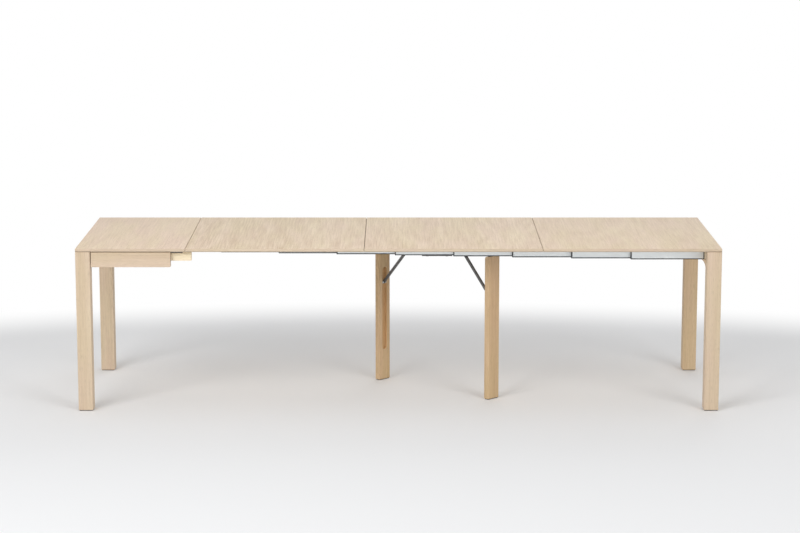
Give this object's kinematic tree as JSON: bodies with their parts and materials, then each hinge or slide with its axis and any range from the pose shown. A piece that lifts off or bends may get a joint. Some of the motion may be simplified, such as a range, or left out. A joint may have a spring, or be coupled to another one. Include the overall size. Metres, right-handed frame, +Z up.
{
  "type": "extendable console table",
  "caption": "Console table that extends to a long dining table on telescopic aluminium slides, with loose leaves and folding, strut-braced centre legs.",
  "frame": {"origin": "on the floor under the middle of the extended table", "axes": "+X along the table from the fixed end to the pull-out end, front at -Y, +Z up"},
  "size_m": [2.917, 0.9, 0.75],
  "materials": {
    "oak_veneer": "matt lacquered oak",
    "pale_wood": "planed birch",
    "slide_aluminium": "satin anodised",
    "dark_nylon": "moulded nylon",
    "foot_plastic": "matt",
    "roller_nylon": "moulded nylon",
    "zinc_steel": "zinc plated",
    "dark_steel": "dark grey powder coat",
    "pin_steel": "bright zinc"
  },
  "bodies": {
    "left_frame": {"top_panel": "oak_veneer", "leg_front_left": "oak_veneer", "leg_rear_left": "oak_veneer", "apron_front": "oak_veneer", "apron_rear": "oak_veneer", "apron_left_end": "oak_veneer", "cross_apron_left": "pale_wood", "corner_blocks": "pale_wood", "bearer_keepers": "pale_wood", "foot_glides_left": "foot_plastic", "slide_pair_0": "slide_aluminium", "slide_guides_0": "dark_nylon"},
    "right_frame": {"leg_front_right": "oak_veneer", "leg_rear_right": "oak_veneer", "apron_right_end": "oak_veneer", "cross_apron_right": "pale_wood", "leg_gussets": "oak_veneer", "foot_glides_right": "foot_plastic", "slide_pair_9": "slide_aluminium", "slide_guides_9": "dark_nylon"},
    "bearer_pair": {"bearers": "pale_wood"},
    "leaf_2": {"leaf_2": "oak_veneer"},
    "leaf_3": {"leaf_3": "oak_veneer"},
    "leaf_4": {"leaf_4": "oak_veneer"},
    "stage_1": {"slide_pair_1": "slide_aluminium", "slide_guides_1": "dark_nylon"},
    "stage_2": {"slide_pair_2": "slide_aluminium", "slide_guides_2": "dark_nylon"},
    "stage_3": {"slide_pair_3": "slide_aluminium", "slide_guides_3": "dark_nylon"},
    "stage_4": {"slide_pair_4": "slide_aluminium", "slide_guides_4": "dark_nylon"},
    "stage_5": {"slide_pair_5": "slide_aluminium", "slide_guides_5": "dark_nylon", "leg_carrier": "dark_steel", "carrier_screws": "pin_steel", "hinge_bracket_1": "zinc_steel", "hinge_bracket_2": "zinc_steel", "hinge_pins": "pin_steel", "strut_clevis_1": "dark_steel", "strut_clevis_2": "dark_steel", "clevis_pins": "pin_steel"},
    "stage_6": {"slide_pair_6": "slide_aluminium", "slide_guides_6": "dark_nylon"},
    "stage_7": {"slide_pair_7": "slide_aluminium", "slide_guides_7": "dark_nylon"},
    "stage_8": {"slide_pair_8": "slide_aluminium", "slide_guides_8": "dark_nylon"},
    "centre_leg_1": {"centre_leg_1": "oak_veneer", "centre_foot_1": "foot_plastic"},
    "strut_1": {"strut_1": "dark_steel", "strut_rollers_1": "roller_nylon", "roller_pin_1": "pin_steel"},
    "centre_leg_2": {"centre_leg_2": "oak_veneer", "centre_foot_2": "foot_plastic"},
    "strut_2": {"strut_2": "dark_steel", "strut_rollers_2": "roller_nylon", "roller_pin_2": "pin_steel"}
  },
  "joints": [
    {"name": "extension", "type": "slide", "parent": "left_frame", "child": "right_frame", "axis": [1, 0, 0], "range_m": [-2.421, 0]},
    {"name": "stage_1_slide", "type": "slide", "parent": "left_frame", "child": "stage_1", "axis": [1, 0, 0], "range_m": [-0.269, 0]},
    {"name": "stage_2_slide", "type": "slide", "parent": "left_frame", "child": "stage_2", "axis": [1, 0, 0], "range_m": [-0.538, 0]},
    {"name": "stage_3_slide", "type": "slide", "parent": "left_frame", "child": "stage_3", "axis": [1, 0, 0], "range_m": [-0.807, 0]},
    {"name": "stage_4_slide", "type": "slide", "parent": "left_frame", "child": "stage_4", "axis": [1, 0, 0], "range_m": [-1.07601, 0]},
    {"name": "stage_5_slide", "type": "slide", "parent": "left_frame", "child": "stage_5", "axis": [1, 0, 0], "range_m": [-1.34501, 0]},
    {"name": "stage_6_slide", "type": "slide", "parent": "left_frame", "child": "stage_6", "axis": [1, 0, 0], "range_m": [-1.614, 0]},
    {"name": "stage_7_slide", "type": "slide", "parent": "left_frame", "child": "stage_7", "axis": [1, 0, 0], "range_m": [-1.88301, 0]},
    {"name": "stage_8_slide", "type": "slide", "parent": "left_frame", "child": "stage_8", "axis": [1, 0, 0], "range_m": [-2.152, 0]},
    {"name": "bearer_slide", "type": "slide", "parent": "left_frame", "child": "bearer_pair", "axis": [1, 0, 0], "range_m": [-0.0931, 0]},
    {"name": "leaf_2_lift", "type": "slide", "parent": "left_frame", "child": "leaf_2", "axis": [0, 0, 1], "range_m": [0, 0.25]},
    {"name": "leaf_3_lift", "type": "slide", "parent": "left_frame", "child": "leaf_3", "axis": [0, 0, 1], "range_m": [0, 0.25]},
    {"name": "leaf_4_lift", "type": "slide", "parent": "left_frame", "child": "leaf_4", "axis": [0, 0, 1], "range_m": [0, 0.25]},
    {"name": "leg_1_fold", "type": "hinge", "parent": "stage_5", "child": "centre_leg_1", "pos_m": [-0.07675, 0.203, 0.661], "axis": [-0.7071, -0.7071, 0], "range_deg": [0, 90]},
    {"name": "strut_1_swing", "type": "hinge", "parent": "stage_5", "child": "strut_1", "pos_m": [0.05265, 0.0736, 0.669], "axis": [-0.7071, -0.7071, 0], "range_deg": [0, 132.36]},
    {"name": "leg_2_fold", "type": "hinge", "parent": "stage_5", "child": "centre_leg_2", "pos_m": [0.43225, -0.203, 0.661], "axis": [0.7071, 0.7071, 0], "range_deg": [0, 90]},
    {"name": "strut_2_swing", "type": "hinge", "parent": "stage_5", "child": "strut_2", "pos_m": [0.30285, -0.0736, 0.669], "axis": [0.7071, 0.7071, 0], "range_deg": [0, 132.36]}
  ],
  "couplings": [
    {"joint": "stage_1_slide", "follows": "extension", "ratio": 0.11111},
    {"joint": "stage_2_slide", "follows": "extension", "ratio": 0.22222},
    {"joint": "stage_3_slide", "follows": "extension", "ratio": 0.33333},
    {"joint": "stage_4_slide", "follows": "extension", "ratio": 0.44444},
    {"joint": "stage_5_slide", "follows": "extension", "ratio": 0.55556},
    {"joint": "stage_6_slide", "follows": "extension", "ratio": 0.66667},
    {"joint": "stage_7_slide", "follows": "extension", "ratio": 0.77778},
    {"joint": "stage_8_slide", "follows": "extension", "ratio": 0.88889},
    {"joint": "bearer_slide", "follows": "extension", "ratio": 0.038414},
    {"joint": "strut_1_swing", "follows": "leg_1_fold", "ratio": 1.4705},
    {"joint": "strut_2_swing", "follows": "leg_2_fold", "ratio": 1.4705}
  ]
}
